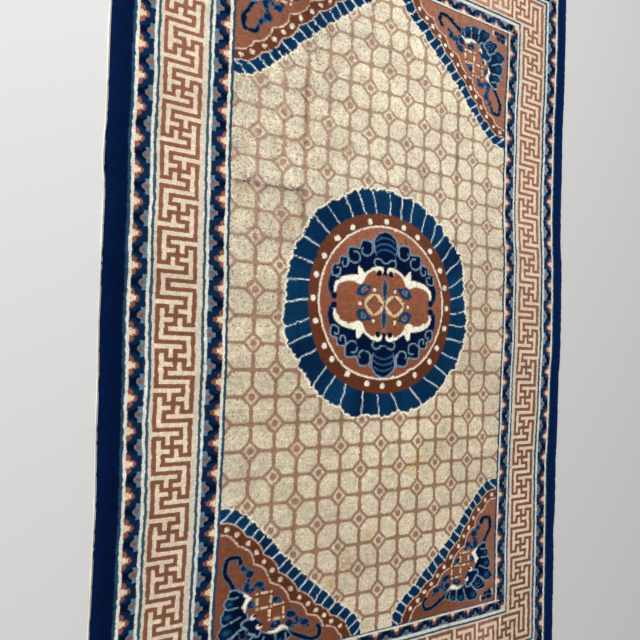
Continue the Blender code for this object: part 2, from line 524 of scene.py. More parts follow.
def draw_petals(chart, edge, rim, light, brighter, line):
    """Blue petals up to an edge, with a pale rim and pale lines between them."""
    within = share_of_knot(edge)
    chart.fill(edge + rim, "ivory")
    chart.cover(within, "royal")
    chart.cover(within * np.clip(0.4 * light + brighter, 0.0, 0.5), "bright royal")
    chart.cover(within * np.clip(-0.5 * light, 0.0, 0.5), "navy")
    chart.cover(within * share_of_knot(line), "thread")


def draw_ruffle(chart, radius, angle):
    """The leaning petals round the ring."""
    edge = np.interp((angle + 10.0) % 360.0 - 10.0, *zip(*PETAL_ENDS))
    outward = np.clip((radius - RING_OUTER) / (edge - RING_OUTER), 0.0, 1.0)
    lean = PETAL_LEAN + PETAL_LEAN_SWING * np.cos(np.radians(angle - PETAL_LEAN_AT))
    leaning = angle - lean * (outward - 0.3) + noise(angle, outward * 12.0, 9.0, 83, 2)
    from_line = np.min([np.abs(turned(leaning, line)) for line in PETAL_LINES], axis=0)
    from_line = np.radians(from_line) * radius
    edge = edge + 0.045 * noise(angle, angle * 0.0, 2.2, 79, 2) - 0.07 * bell(from_line, 0.06)
    edge = edge + 0.03 * noise(angle, radius * 0.0, 1.2, 81, 1)
    light = noise(angle, radius * 4.0, 16.0, 85, 2)
    thread = 0.018 + 0.008 * (1.0 - outward) - from_line
    draw_petals(chart, edge - radius, 0.075, light, 0.15 * outward, thread)


def draw_ring(chart, dx, dy, radius, angle):
    """The brown ring, its pearls and the pale line inside it."""
    turns = np.radians(angle)
    lumps = (0.045 - 0.03 * np.cos(turns)) * (1.0 - np.cos(4.0 * turns))
    outer = RING_OUTER - 0.03 * np.cos(turns) - 0.045 * np.cos(2.0 * turns) + lumps
    inner = RING_INNER - 0.04 * np.cos(turns) + 0.03 * np.sin(turns)
    inner = inner + 0.1 * bell(turned(angle, 235.0), 16.0) - 0.04 * bell(turned(angle, 45.0), 18.0)
    chart.fill(outer - 0.01 - radius, "brown")
    random = np.random.default_rng(53)
    for number in range(PEARLS):
        at = 2.0 * math.pi * number / PEARLS + random.normal(0.0, PEARL_STRAY)
        reach = PEARLS_AT + random.normal(0.0, PEARL_STRAY) - 0.04 * math.cos(at)
        off = np.hypot(dx - reach * math.cos(at), dy - reach * math.sin(at))
        chart.fill(PEARL_RADIUS - off, "pearl")
    chart.fill(inner + RIM_HALF - radius, "pearl")
    chart.fill(inner - RIM_HALF - radius, "copper")


def draw_coins(chart):
    """A pair of coins, each with a four-sided hole."""
    across = (chart.x - COIN_AT[0]) / COIN_RADII[0]
    along = (chart.y - COIN_AT[1]) / COIN_RADII[1]
    from_middle = np.hypot(across, along)
    hollow = np.abs(across) + np.abs(along)
    chart.fill(0.5 * (1.0 - from_middle), "dark brown")
    chart.fill(0.5 * (0.96 - from_middle), "coin")
    chart.fill(0.36 * (0.87 - hollow), "dark brown")
    chart.fill(0.36 * (0.77 - hollow), "copper")


def draw_medallion(chart):
    dx, dy = chart.x - MEDALLION_AT[0], chart.y - MEDALLION_AT[1]
    radius = np.hypot(dx, dy)
    angle = np.degrees(np.arctan2(dy, dx)) % 360.0
    draw_ruffle(chart, radius, angle)
    draw_ring(chart, dx, dy, radius, angle)

    near = np.flatnonzero(radius < RING_INNER + 0.2)
    inner_x, inner_y = chart.x[near] - INNER_AT[0], chart.y[near] - INNER_AT[1]
    quarter = Drawing(np.abs(inner_x), np.abs(inner_y), chart.colour[near])
    quarter.stroke(ARM, 0.26, "navy", "slate", 0.025)
    quarter.oval(ARM_END, (0.17, 0.16), "navy", "slate", 0.02)
    quarter.form(HEAD_GROUND, "navy", soft=False)
    quarter.form(MOUND, "navy")
    quarter.stroke(MOUND_SIDE, 0.055, "sky")
    quarter.stroke(MOUND_RIM, 0.05, "sky")
    for band in MOUND_BANDS:
        quarter.stroke(band, 0.045, "band blue", "royal", 0.03)
    for cloud in CLOUD_TOPS + (CROWN,):
        quarter.stroke(cloud, 0.058, "sky")
    quarter.form(BODY, "copper", soft=False)
    quarter.form(WING, "ivory", soft=False)
    quarter.oval(*WING_EYE, "ivory")
    quarter.oval(*WING_PUPIL, "guard dark")
    quarter.form(SPINDLE, "scroll blue", "sky", 0.028)

    # The pair of coins lies a little below the middle, so only its sides mirror
    coins = Drawing(np.abs(inner_x), inner_y, quarter.colour)
    draw_coins(coins)
    quarter.form(SCROLL, "scroll blue")
    quarter.stroke(SCROLL_CURL, 0.035, "sky")
    quarter.oval(SCROLL_MIDDLE, (0.09, 0.08), "copper")
    for middle in CREAM_SQUARES:
        coins.block(middle, 0.21, 0.21, "brown")
        coins.block(middle, 0.14, 0.14, "pearl")
    chart.colour[near] = quarter.colour


# The corner pieces. Forms are given inward from the side rim and inward from the end rim
CUSPS = pairs(-10, 515, 72, 466, 142, 386, 208, 305, 295, 212, 372, 142, 445, 78, 525, 15)
LOBE_RISE = 0.17
BROWN_DEPTH = 0.42
PEARL_SHARES, PEARL_DEPTH, CORNER_PEARL = (0.22, 0.72), 0.52, 0.095
CORNER_EDGE = pairs(
    -20, 610, 55, 602, 105, 566, 160, 518, 215, 460, 260, 402, 320, 342, 370, 292, 430, 240,
    480, 188, 535, 142, 585, 95, 620, 50, 630, -20
)
CORNER_PETALS, CORNER_LENGTH = 19.5, 8.9

# How far the forms lie from their places in each corner, inward from the side and the end
CORNER_SHIFTS = np.array((
    # lower left, lower right
    ((0.0, 0.0), (0.2, 0.04)),
    # upper left, upper right
    ((-0.02, -0.12), (-0.06, 0.08)),
))

# How far the corner pieces may reach, and how the upper corners' ground is stretched
CORNER_REACH = (6.7, 6.5)
UPPER_STRETCH = (1.04, 0.965)
TAILS = (
    pairs(86, 398, 82, 416, 58, 422, 35, 416, 28, 386, 32, 360, 50, 334, 64, 310, 78, 294),
    pairs(420, 86, 430, 66, 424, 42, 404, 35, 376, 42, 346, 58, 316, 74, 286, 92),
)
WISPS = (
    pairs(112, 316, 112, 296, 128, 284, 144, 290, 154, 304, 168, 308, 178, 296, 182, 282),
    pairs(122, 324, 128, 338, 126, 352, 106, 370),
    pairs(292, 124, 308, 108, 326, 122, 346, 126, 360, 110, 376, 96),
    pairs(306, 156, 320, 146, 326, 130),
)
BLOBS = (
    # inward from the side, inward from the end, half width, half depth, turn
    (1.26, 3.5, 0.18, 0.17, 0.0), (1.0, 3.76, 0.12, 0.14, 0.0), (1.18, 2.98, 0.15, 0.2, 0.0),
    (1.66, 3.02, 0.2, 0.15, 0.0), (2.93, 1.22, 0.18, 0.17, 0.0), (3.6, 1.14, 0.2, 0.15, 0.0),
    (3.02, 1.6, 0.23, 0.15, -20.0), (2.38, 1.32, 0.24, 0.15, 10.0), (2.4, 2.31, 0.22, 0.13, -28.0),
    (1.37, 2.3, 0.15, 0.15, 0.0),
)
BLOB_LIGHTS = pairs(236, 136, 144, 230, 130, 300, 318, 110, 246, 226)
FRAMES = pairs(240, 184, 189, 238)
FRAME_HALF = 0.285
FRAME_WIDTH, FRAME_OVERHANG = 0.15, 0.1
DASH_WIDTH, DASH_LENGTH, DASH_CORNER = 0.09, 0.3, 0.1

# The bat's two wings of feathers, the pale lines between the feathers, and their tips
SIDE_WING = pairs(
    122, 172, 116, 150, 98, 140, 78, 128, 52, 113, 28, 113, 15, 130, 18, 152, 33, 171, 23, 186,
    24, 206, 35, 225, 40, 233, 35, 248, 40, 264, 52, 273, 49, 286, 58, 298, 74, 300, 92, 290,
    106, 280, 120, 262, 110, 240, 114, 210, 124, 195
)
END_WING = pairs(
    146, 102, 130, 82, 114, 62, 110, 42, 124, 29, 150, 26, 172, 34, 182, 47, 190, 34, 210, 30,
    228, 38, 236, 52, 244, 42, 262, 42, 276, 54, 288, 54, 300, 64, 300, 80, 288, 94, 270, 102,
    230, 96, 196, 106, 176, 120, 160, 110
)
FEATHER_LINES = (
    pairs(30, 168, 55, 174, 76, 184, 96, 190),
    pairs(38, 231, 60, 228, 86, 230),
    pairs(50, 270, 68, 267, 86, 270),
    pairs(182, 44, 186, 66, 190, 92),
    pairs(237, 48, 238, 68, 236, 92),
    pairs(279, 55, 281, 68, 278, 88),
)
FEATHER_TIPS = (
    # inward from the side, inward from the end, half width, half depth
    (0.46, 1.4, 0.22, 0.17), (0.48, 2.0, 0.19, 0.15), (0.54, 2.49, 0.17, 0.12),
    (1.38, 0.52, 0.2, 0.2), (2.08, 0.52, 0.17, 0.18), (2.58, 0.6, 0.14, 0.15),
)
MIDDLE_FEATHER = pairs(58, 80, 94, 70, 124, 80, 144, 106, 134, 132, 108, 142, 80, 124, 60, 102)
MIDDLE_RIMS = (
    pairs(58, 100, 78, 124, 100, 142, 126, 146),
    pairs(114, 68, 134, 86, 150, 108),
)
MIDDLE_ARCS = (
    pairs(78, 102, 90, 90, 112, 86, 128, 98),
    pairs(96, 120, 98, 106, 112, 100, 122, 110, 118, 124),
)
BAT_HEAD = pairs(
    108, 162, 114, 148, 130, 134, 142, 118, 154, 110, 166, 104, 176, 114, 172, 130, 180, 150,
    168, 166, 146, 176, 116, 173
)
HEAD_RIM = pairs(
    134, 175, 112, 173, 103, 158, 110, 146, 122, 137, 136, 117, 152, 110, 156, 100, 170, 98,
    178, 108, 177, 122
)
CHEEK_RIM = pairs(178, 154, 166, 168, 152, 174)
CORNER_EYES = (
    # the eye's place, then its pupil's
    (1.72, 1.37, 1.77, 1.43), (1.46, 1.8, 1.51, 1.83),
)
FLASHES = (
    pairs(
        112, 206, 118, 212, 119, 232, 128, 247, 141, 256, 130, 266, 112, 277, 100, 284, 114, 262,
        110, 240, 99, 227, 108, 220
    ),
    pairs(
        198, 109, 216, 101, 236, 96, 260, 104, 276, 108, 292, 95, 286, 110, 266, 124, 250, 120,
        232, 108, 212, 110
    ),
)
FLASH_TAIL = pairs(106, 280, 90, 290, 72, 299, 54, 297)
SMALL_CLOUD = (
    # inward from the side, inward from the end, half width, half depth, turn
    (0.3, 0.25, 0.19, 0.12, 0.0), (0.64, 0.22, 0.18, 0.1, 0.0), (0.26, 0.5, 0.15, 0.14, 0.0),
    (0.52, 0.46, 0.16, 0.1, -15.0),
)
CLOUD_ENDS = (
    pairs(10, 34, 9, 46, 12, 60),
    pairs(86, 14, 90, 26, 84, 38),
)


def scallop_point(start, end, share, beyond=0.0):
    """A point of one scallop of the copper ground's rim, or a point that far beyond it."""
    (x0, y0), (x1, y1) = start, end
    rise = (LOBE_RISE * math.sin(math.pi * share) + beyond) / math.hypot(x1 - x0, y1 - y0)
    return x0 + (x1 - x0) * share - (y1 - y0) * rise, y0 + (y1 - y0) * share + (x1 - x0) * rise


def draw_corner_ground(chart):
    """The corner's petals, brown band with pearls, and copper ground."""
    scallops = list(zip(CUSPS, CUSPS[1:]))
    outline = [scallop_point(*ends, step / 8.0) for ends in scallops for step in range(8)]
    beyond = (-0.6, -0.6)
    grown = depth_in(chart.x, chart.y, rounded(CORNER_EDGE) + [beyond])
    copper = depth_in(chart.x, chart.y, outline + [CUSPS[-1], (5.6, -0.6), beyond, (-0.6, 5.2)])

    # Petals are counted along the outer edge
    share = ((chart.x - chart.y) / math.sqrt(2.0) / CORNER_LENGTH + 0.5) * CORNER_PETALS
    share = (share + 0.15 * noise(chart.x, chart.y, 0.9, 89, 1)) % 1.0
    from_line = np.minimum(share, 1.0 - share) * CORNER_LENGTH / CORNER_PETALS
    grown = grown + 0.02 - 0.06 * bell(from_line, 0.05)
    grown = grown + 0.035 * noise(chart.x, chart.y, 0.12, 97, 1)
    light = noise(chart.x, chart.y, 0.9, 101, 2)
    draw_petals(chart, grown, 0.05, light, 0.0, 0.024 - from_line)
    chart.fill(copper + BROWN_DEPTH + 0.035, "blush")
    chart.fill(copper + BROWN_DEPTH, "brown")
    for ends in scallops:
        for share in PEARL_SHARES:
            middle = scallop_point(*ends, share, BROWN_DEPTH * PEARL_DEPTH)
            chart.oval(middle, (CORNER_PEARL, CORNER_PEARL), "corner pearl")
    chart.fill(copper + 0.025, "blush")
    chart.fill(copper - 0.025, "rust")


def draw_frame(chart, middle):
    """A square frame of cream dashes between thin brown lines."""
    across, along = middle
    whole = 2.0 * FRAME_HALF + FRAME_OVERHANG
    for off in (-FRAME_HALF, FRAME_HALF):
        chart.block((across + off, along), FRAME_WIDTH, whole, "brown")
        chart.block((across, along + off), whole, FRAME_WIDTH, "brown")
    for off in (-FRAME_HALF, FRAME_HALF):
        chart.block((across + off, along), DASH_WIDTH, DASH_LENGTH, "frame cream")
        chart.block((across, along + off), DASH_LENGTH, DASH_WIDTH, "frame cream")
        for other in (-FRAME_HALF, FRAME_HALF):
            place = (across + off, along + other)
            chart.block(place, DASH_CORNER, DASH_CORNER, "frame cream")


def shift_corner(chart, right, upper):
    """Takes each corner's own shift off the places of its knots."""
    from_side, from_end = CORNER_SHIFTS[upper.astype(int), right.astype(int)].T
    share = ramp(chart.x + 0.5 * chart.y, 1.3, 2.8)
    chart.x = chart.x - from_side * share * ramp(chart.x, 0.6, 1.6)
    chart.y = chart.y - from_end * share * ramp(chart.y, 0.6, 1.6)


def draw_corner(chart, right, upper):
    place_x, place_y = chart.x, chart.y
    chart.x = np.where(upper, place_x / UPPER_STRETCH[0], place_x)
    chart.y = np.where(upper, place_y / UPPER_STRETCH[1], place_y)
    draw_corner_ground(chart)
    chart.x, chart.y = place_x, place_y
    shift_corner(chart, right, upper)
    for middle in FRAMES:
        draw_frame(chart, middle)
    for tail in TAILS:
        chart.stroke(tail, 0.155, "guard dark", "slate", 0.03)
    for wisp in WISPS:
        chart.stroke(wisp, 0.13, "wisp blue", "slate", 0.025)
    for across, down, half_width, half_depth, turn in BLOBS:
        chart.oval((across, down), (half_width, half_depth), "wisp blue", "slate", 0.03, turn)
    for middle in BLOB_LIGHTS:
        chart.oval(middle, (0.06, 0.05), "slate")
    for wing in (SIDE_WING, END_WING, MIDDLE_FEATHER):
        chart.form(wing, "feather", "sky", 0.035)
    for across, down, half_width, half_depth in FEATHER_TIPS:
        chart.oval((across, down), (half_width, half_depth), "royal")
        chart.oval((across, down), (half_width * 0.55, half_depth * 0.55), "middle blue")
    for curve in FEATHER_LINES + MIDDLE_RIMS:
        chart.stroke(curve, 0.05, "sky")
    for arc in MIDDLE_ARCS:
        chart.stroke(arc, 0.035, "slate")
    chart.form(BAT_HEAD, "navy")
    chart.stroke(HEAD_RIM, 0.06, "sky")
    chart.stroke(CHEEK_RIM, 0.05, "slate")
    for flash in FLASHES:
        chart.form(flash, "ivory", soft=False)
    chart.stroke(FLASH_TAIL, 0.04, "sky")
    for across, down, pupil_across, pupil_down in CORNER_EYES:
        chart.oval((across, down), (0.115, 0.105), "ivory")
        chart.oval((pupil_across, pupil_down), (0.075, 0.07), "guard dark")
    for across, down, half_width, half_depth, turn in SMALL_CLOUD:
        chart.oval((across, down), (half_width, half_depth), "feather", "slate", 0.025, turn)
    for end in CLOUD_ENDS:
        chart.stroke(end, 0.05, "pearl")


# The borders


def band_number(place, starts):
    return np.searchsorted(starts, place, side="right")


def guard_colours(depth, depth_size, along, period, red_at_start):
    """Colours of a guard border's knots, by depth from the red flowers' side."""
    letters = np.array([list(line) for line in GUARD_REPEAT])
    height, steps = letters.shape
    half = GUARD_PERIOD / 2.0
    from_red = along / period * GUARD_PERIOD + (0.0 if red_at_start else half)
    from_red = (from_red + half) % GUARD_PERIOD - half
    rows = np.clip(np.rint(np.abs(from_red)), 0, height - 1).astype(int)
    columns = np.clip(((depth + 0.5) * steps / depth_size).astype(int), 0, steps - 1)
    shades = np.array([COLOURS[GUARD_LETTERS[letter]] for letter in letters.ravel()])
    return shades.reshape(height, steps, 3)[rows, columns]


def draw_fret(colour, side, end, columns, rows):
    """The fret along the sides and ends, and where the two meet."""
    charts = (FRET_REPEAT, FRET_CORNER)
    repeat, corner = (np.array([list(line) for line in chart]) == "#" for chart in charts)
    fret = BAND_NAMES.index("fret")
    outward = (columns - SIDE_BANDS[fret - 1]) // FRET_CELL
    upward = (rows - END_BANDS[fret - 1]) // FRET_CELL
    counted = (rows + 1) // FRET_CELL
    length, last = len(FRET_REPEAT), len(FRET_CORNER) - 1
    deep_side, deep_end = np.clip(outward, 0, last), np.clip(upward, 0, last)
    at_side = (side == fret) & (end < fret)
    at_end = (end == fret) & (side < fret)
    at_corner = (end == fret) & (side == fret)
    line = np.zeros(columns.shape, bool)
    line[at_side] = repeat[(-counted % length)[at_side], deep_side[at_side]]
    along_end = (np.maximum(outward, MIDDLE_CELL) + length // 2) % length
    line[at_end] = repeat[along_end[at_end], deep_end[at_end]]
    line[at_corner] = corner[deep_end[at_corner], deep_side[at_corner]]
    colour[at_side | at_end | at_corner] = COLOURS["fret ground"]
    colour[line] = COLOURS["fret line"]


def draw_guards(colour, side, end, columns, rows):
    """The two guard borders, with a flower in each corner."""
    for name, red_outside in (("inner guard", False), ("outer guard", True)):
        band = BAND_NAMES.index(name)
        across, upward = columns - SIDE_BANDS[band - 1], rows - END_BANDS[band - 1]
        wide, tall = SIDE_BANDS[band] - SIDE_BANDS[band - 1], END_BANDS[band] - END_BANDS[band - 1]
        from_side, from_end = wide - 1 - across, tall - 1 - upward
        at_side = (side == band) & (end < band)
        at_end = (end == band) & (side < band)
        at_corner = (side == band) & (end == band)
        depth = from_side if red_outside else across
        colour[at_side] = guard_colours(depth, wide, rows, GUARD_PERIOD, not red_outside)[at_side]
        depth = from_end if red_outside else upward
        colour[at_end] = guard_colours(depth, tall, columns, GUARD_PERIOD_ENDS, not red_outside)[at_end]

        # A flower fills the corner, and a short pale line runs out to it
        colour[at_corner] = COLOURS["guard dark"]
        off_across, off_along = from_side / KNOTS_ACROSS, from_end / KNOTS_ALONG
        petals = at_corner & (np.maximum(off_across, off_along) < 2.0 * FLOWER_CORE)
        colour[petals & (np.minimum(off_across, off_along) < FLOWER_CORE)] = COLOURS["red"]
        colour[at_corner & (np.maximum(off_across, off_along) < FLOWER_CORE)] = COLOURS["cream"]
        slant = np.abs(across - upward * wide / tall) < 1.0
        colour[at_corner & slant & (across < 5)] = COLOURS["light blue"]


def draw_borders():
    """Colours of one quarter's borders, and which of its knots lie in the field."""
    rows, columns = np.mgrid[0 : HALF_ROWS + 1, 0 : HALF_COLUMNS + 1]
    side = band_number(columns, SIDE_BANDS)
    end = band_number(rows, END_BANDS)
    band = np.minimum(np.maximum(side, end), len(BAND_NAMES) - 1)
    colour = np.zeros(rows.shape + (3,))
    for number, name in enumerate(BAND_NAMES):
        if name in COLOURS:
            colour[band == number] = COLOURS[name]
    draw_fret(colour, side, end, columns, rows)
    draw_guards(colour, side, end, columns, rows)
    return colour, band == 0


# The field's lattice lies a little off the rug's middle along the rug
LATTICE_SHIFT = 0.08
UPRIGHT_WIDTH, LEVEL_WIDTH = 0.165, 0.14
LAST_UPRIGHT = 6.5
DIAMOND_OUTER, DIAMOND_INNER, DIAMOND_DOT = 0.475, 0.3, 0.14
ROUNDED_BELOW, ROUNDED_ABOVE = 0.07, 0.11
HALF_DIAMOND_AT = 7.15
PALER_ABOVE, THINNER_ABOVE = 0.16, 0.24

# A slanting line's edge is softer, by its slope
SLANT_EDGE = 1.4


def draw_lattice(chart):
    """The field's squares, with a diamond on every second crossing."""
    chart.colour[:] = COLOURS["field"]
    along = chart.y - LATTICE_SHIFT
    near_x, near_y = np.rint(chart.x), np.rint(along)
    dx, dy = np.abs(chart.x - near_x), np.abs(along - near_y)
    in_field = np.abs(near_x) < LAST_UPRIGHT
    with_diamond = ((near_x + near_y) % 2 == 0) & in_field
    above = ramp(chart.y, -3.0, 6.0)
    shade = 1.0 - PALER_ABOVE * above
    thinner = 1.0 - THINNER_ABOVE * above
    off_upright = np.where(in_field, dx - thinner * UPRIGHT_WIDTH / 2.0, 1.0)
    off_level = dy - thinner * LEVEL_WIDTH / 2.0
    lines = share_of_knot(-np.minimum(off_upright, off_level))
    spread = np.maximum(off_upright, 0.0) + np.maximum(off_level, 0.0)
    rounding = ROUNDED_BELOW + (ROUNDED_ABOVE - ROUNDED_BELOW) * above
    rounding = share_of_knot((rounding - spread) / SLANT_EDGE) * (in_field & ~with_diamond)
    ring = with_diamond * share_of_knot((DIAMOND_OUTER - dx - dy) / SLANT_EDGE)
    chart.cover(np.maximum(np.maximum(lines, rounding), ring) * shade, "lattice")
    chart.cover(with_diamond * share_of_knot((DIAMOND_INNER - dx - dy) / SLANT_EDGE), "diamond")
    chart.cover(with_diamond * share_of_knot(DIAMOND_DOT - np.hypot(dx, dy)) * shade, "lattice")

    # Half diamonds stand against the field's sides at every second level line
    at_side = (near_y % 2 == 1) & (np.abs(chart.x) > LAST_UPRIGHT)
    off = np.abs(HALF_DIAMOND_AT - np.abs(chart.x)) + dy
    chart.cover(at_side * share_of_knot((DIAMOND_OUTER - off) / SLANT_EDGE) * shade, "lattice")
    chart.cover(at_side * share_of_knot((DIAMOND_INNER - off) / SLANT_EDGE), "diamond")


def knot_colours():
    """The colour of every knot: rows by columns by three."""
    rows, columns = np.mgrid[-HALF_ROWS : HALF_ROWS + 1, -HALF_COLUMNS : HALF_COLUMNS + 1]
    borders, in_field = draw_borders()
    colour = borders[np.abs(rows), np.abs(columns)]
    field = in_field[np.abs(rows), np.abs(columns)]
    x = columns / KNOTS_ACROSS
    y = row_place(rows)
    chart = Drawing(x[field], y[field], np.zeros((int(field.sum()), 3)))
    draw_lattice(chart)
    draw_medallion(chart)

    inward = (SIDE_BANDS[0] - 0.5 - np.abs(columns[field])) / KNOTS_ACROSS
    downward = (END_BANDS[0] - 0.5 - np.abs(rows[field])) / KNOTS_ALONG
    near = np.flatnonzero((inward < CORNER_REACH[0]) & (downward < CORNER_REACH[1]))
    corners = Drawing(inward[near], downward[near], chart.colour[near])
    draw_corner(corners, columns[field][near] > 0, rows[field][near] > 0)
    chart.colour[near] = corners.colour
    colour[field] = chart.colour
    return aged_and_shaded(colour, columns, rows, x, y)


STAINS = (
    # kind, across, along, radius, strength
    ("yellow", 1.6, -7.15, 0.26, 0.85),
    ("yellow", 1.85, -6.85, 0.22, 0.5),
    ("yellow", 2.1, -6.62, 0.22, 0.95),
    ("grey", 2.5, -6.4, 0.3, 0.45),
    ("grey", 3.45, -5.5, 0.24, 0.8),
    ("grey", 3.4, -6.3, 0.38, 0.75),
    ("grey", 2.4, -5.55, 0.3, 0.35),
    ("dark", 1.98, -4.9, 0.13, 0.8),
    ("brown", -0.5, -9.6, 0.25, 0.5),
    ("brown", -1.55, -10.5, 0.3, 0.5),
    ("brown", -2.3, -11.3, 0.3, 0.5),
    ("brown", -8.95, -8.1, 0.22, 0.5),
    ("brown", -8.1, -3.4, 0.25, 0.3),
)
STAIN_TINTS = {
    "yellow": np.array([0.95, 0.84, 0.5]),
    "grey": np.array([0.74, 0.71, 0.6]),
    "dark": np.array([0.42, 0.4, 0.38]),
    "brown": np.array([0.86, 0.62, 0.32]),
}
SMUDGE_TINT = np.array([0.78, 0.66, 0.5])
SOILED_AT = (-4.1, 4.03)
SPECK_SHADE = 0.45
DUST_TINT = np.array([0.56, 0.47, 0.41])
FADED_TO = np.array([0.55, 0.48, 0.42])
# Painted sheen added to the dark blues of the upper right corner piece, standing in for light on the pile
SHEEN = np.array([0.009, 0.022, 0.038])

# Where the outer border grows paler toward the sides, in squares from the middle
PALE_EDGE = (10.9, 11.35)
UPPER_TINT = np.array([0.04, 0.07, 0.12])

# A crease in the upper left of the field, where dark soil has gathered
CREASE_TINT = np.array([0.7, 0.68, 0.78])
CREASE = pairs(-680, 400, -630, 415, -570, 405, -510, 410, -460, 410, -410, 420)


def tinted(colour, share, tint):
    """Colours that have gone this share of the way to their product with a tint."""
    share = share[..., None]
    return colour * (1.0 - share + share * tint)


def misplaced(columns, rows, x, y):
    """Row and column numbers whose colours the knots take, a few in the field one knot off."""
    inside = (np.abs(columns) < SIDE_BANDS[0] - 1) & (np.abs(rows) < END_BANDS[0] - 1)
    amount = inside * (0.46 + 0.16 * ramp(y - 0.5 * x, 2.0, 7.0))
    beside, above = (np.rint(amount * noise(x, y, 0.26, seed, 2)).astype(int) for seed in (61, 67))
    some_columns = np.clip(columns + beside, -HALF_COLUMNS, HALF_COLUMNS) + HALF_COLUMNS
    some_rows = np.clip(rows + above, -HALF_ROWS, HALF_ROWS) + HALF_ROWS
    return some_rows, some_columns


def fade_and_sheen(colour, x, y):
    """The warm dyes have paled toward the upper end, and the dark blues grow lighter toward the right.
    Painted sheen lifts the dark blues of the upper right corner piece.
    """
    bright = colour.mean(axis=2)
    warm = ramp(colour[..., 0] / (colour[..., 2] + 0.01), 2.2, 3.6)
    share = warm * ramp(y + 0.3 * x, -4.0, 7.0) * (0.45 + 0.55 * ramp(bright, 0.06, 0.1))
    in_border = (np.abs(x) > FIELD_RIM) | (np.abs(y) > FIELD_END)
    share = share * np.where(in_border, 0.4 + 0.4 * ramp(x, -9.0, 8.0), 1.0)
    in_corner = (np.abs(x) < FIELD_RIM - 0.2) & (np.abs(y) > 8.0)
    upper_right = ramp(x, 2.0, 6.0) * ramp(y, 7.0, 11.0)
    in_piece = ramp(x + 0.2 * y, -1.0, 6.0) + 0.45 * ramp(y - 0.5 * x, 8.0, 12.0)
    in_piece = (in_piece + 0.35 * upper_right) * (0.4 + 0.6 * ramp(bright, 0.06, 0.09))
    share = np.where(in_corner, warm * in_piece, share)[..., None]
    colour = colour * (1.0 + 0.55 * share)
    colour = colour + 0.07 * share * (FADED_TO - colour)

    bright = colour.mean(axis=2)
    cool = ramp(colour[..., 2] / (colour[..., 0] + 0.01), 1.5, 2.5)
    dark_blue = cool * ramp(-bright, -0.045, -0.015)
    pale_blue = cool * ramp(bright, 0.08, 0.16)
    share = dark_blue * (0.75 * ramp(x, 1.0, 8.0) + 0.15 * ramp(y, -2.0, 8.0))
    share = share + 0.55 * pale_blue * ramp(x + 0.5 * y, 4.0, 12.0)
    # Painted sheen: the dark blues in the upper right corner piece are lifted toward pale blue, where
    # light catches the pile
    sheen = dark_blue * in_corner * upper_right
    return colour * (1.0 + share)[..., None] + sheen[..., None] * SHEEN


def aged_and_shaded(colour, columns, rows, x, y):
    """Uneven dye from row to row, patches, dark specks, stains and dirty fold lines, and painted shade on
    the right of the field.
    """
    random = np.random.default_rng(11)
    colour = fade_and_sheen(colour[misplaced(columns, rows, x, y)], x, y)
    bright = colour.mean(axis=2)
    in_field = (np.abs(columns) < SIDE_BANDS[0]) & (np.abs(rows) < END_BANDS[0])
    worn = in_field & (bright > 0.4) & (bright < 0.72)
    row_shade = np.interp(rows, np.arange(-360, 361), random.normal(0.0, 0.03, 721))
    row_shade = row_shade + 0.05 * noise(x * 0.15, y, 0.9, 3)
    unevenly = worn * (ramp(np.abs(x - 1.5), 3.5, 7.0) + 0.5 * ramp(y, 2.0, 8.0))
    patches = 0.06 * noise(x, y, 2.2, 5) + (0.05 + 0.03 * worn) * noise(x, y, 0.5, 7)
    patches = patches + 0.05 * unevenly * noise(x, y, 0.3, 75, 2)
    grain = (0.09 + 0.05 * worn) * random.normal(0.0, 1.0, bright.shape)
    grain = grain + (0.03 + 0.03 * worn) * noise(x, y, 0.13, 71, 1)
    brighter = 0.06 * ramp(bright, 0.12, 0.4) * ramp(x + 0.5 * y, 4.0, 12.0)
    shade = (1.0 + row_shade + patches + brighter) * np.exp(grain - 0.02)
    shade = shade * (1.0 + 0.4 * ramp(np.abs(x), *PALE_EDGE))
    colour = colour * shade[..., None] * (1.0 + 0.03 * random.normal(0.0, 1.0, colour.shape))
    colour = colour * (1.0 + (worn * ramp(y, -1.0, 6.0))[..., None] * UPPER_TINT)

    # The field has dark fibres and soil in it, more of it down the left. Its darkening on the right is
    # painted shade, where less light falls
    soil_and_shade = 0.13 * ramp(-x, -3.0, 6.0) + 0.15 * bell(x - 6.5, 3.0) * bell(y, 6.0)
    soil_and_shade = soil_and_shade - 0.04 * ramp(y + 0.4 * x, 3.0, 8.0) + 0.03 + 0.06 * noise(x, y, 1.3, 73)
    colour = colour * (1.0 - np.clip(worn * soil_and_shade, -0.04, 0.5))[..., None]
    upper_left = ramp(-x, -3.0, 7.0) * ramp(y, -7.0, 4.0)
    smudge = ramp(noise(x, y, 0.55, 87, 2), 0.4, 0.95) * worn
    colour = tinted(colour, smudge * (0.12 + 0.45 * upper_left), SMUDGE_TINT)
    clusters = 0.6 + 1.2 * np.clip(noise(x, y, 0.7, 91, 2), 0.0, 1.0)
    chance = 0.008 + 0.022 * ramp(y, -6.0, 2.0) + 0.07 * upper_left * clusters * worn
    from_crease = distance(x, y, CREASE)
    chance = chance + 0.5 * bell(from_crease, 0.08) * (noise(x, y, 0.3, 93, 2) > -0.25)
    specks = (random.random(bright.shape) < chance) & in_field & (bright > 0.12)
    colour[specks] *= SPECK_SHADE
    colour = tinted(colour, 0.7 * bell(from_crease, 0.16), CREASE_TINT)
    for kind, at_x, at_y, radius, strength in STAINS:
        share = strength * bell(np.hypot(x - at_x, y - at_y), radius)
        colour = tinted(colour, share, STAIN_TINTS[kind])
    for at in SOILED_AT:
        depth = 0.42 + 0.22 * ramp(y - 1.5 * x, 8.0, 11.0) + 0.4 * bell(y - 7.0, 2.6)
        share = depth * bell(x - at, 0.09) * (0.7 + 0.5 * noise(x, y, 0.8, 13))
        colour = tinted(colour, np.clip(share, 0.0, 1.0), DUST_TINT)
    return np.clip(colour, 0.0008, 0.95)


# Meshes

# How much of its neighbours' colours a knot takes at its corners
KNOT_BLEND = 0.16


